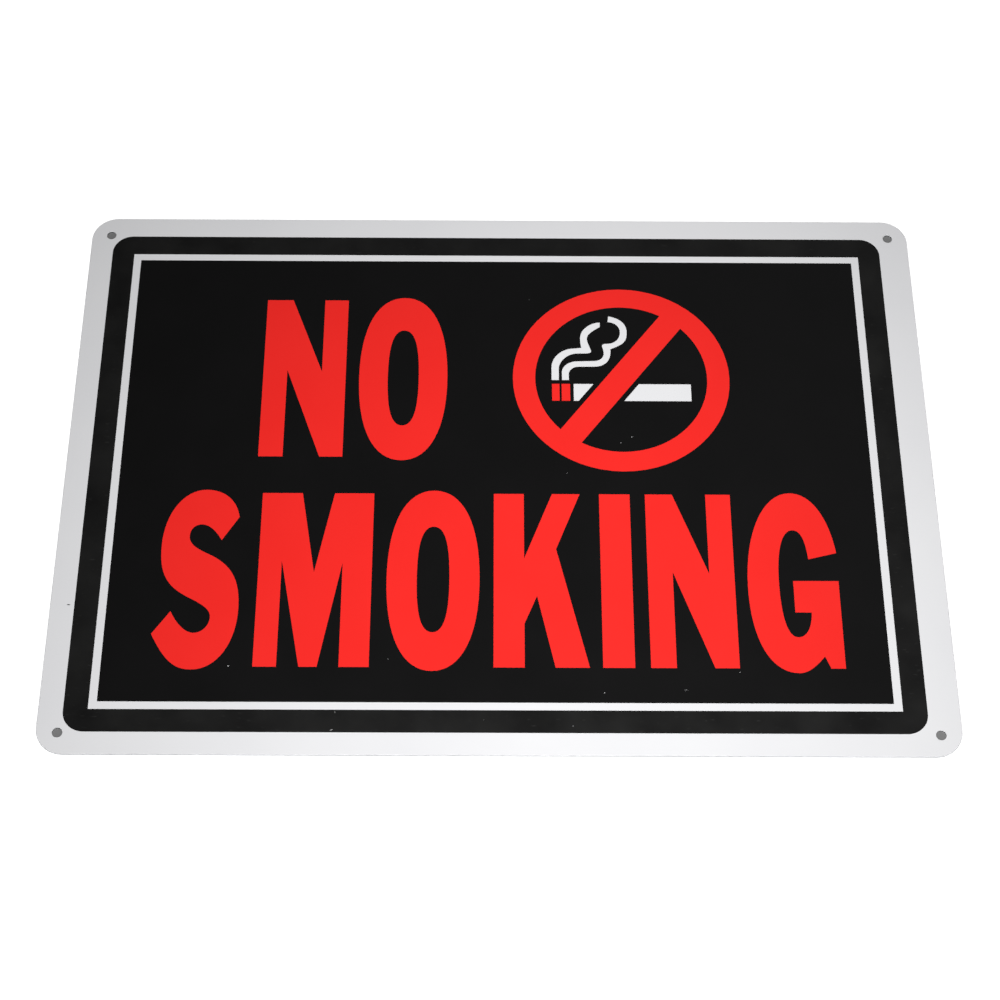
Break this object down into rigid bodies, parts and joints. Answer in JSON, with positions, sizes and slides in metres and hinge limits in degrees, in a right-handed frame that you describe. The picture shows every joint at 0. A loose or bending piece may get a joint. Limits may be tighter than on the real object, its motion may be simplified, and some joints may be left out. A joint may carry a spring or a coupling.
{
  "type": "no smoking sign",
  "caption": "Thin flat rectangular metal wall sign with rounded corners and a small screw hole near each corner, printed on its face with a slashed-ring no-smoking figure.",
  "frame": {"origin": "centre of the sheet's back face, which is its lowest face", "axes": "+X to the right across the wording, +Y towards the top edge of the sign, +Z out of the printed face; the sheet lies on its back"},
  "size_m": [0.3556, 0.254, 0.0008],
  "materials": {
    "coated_sheet": "satin",
    "black_ink": "satin",
    "red_ink": "satin"
  },
  "bodies": {
    "root": {"sign_sheet": "coated_sheet"}
  },
  "joints": []
}
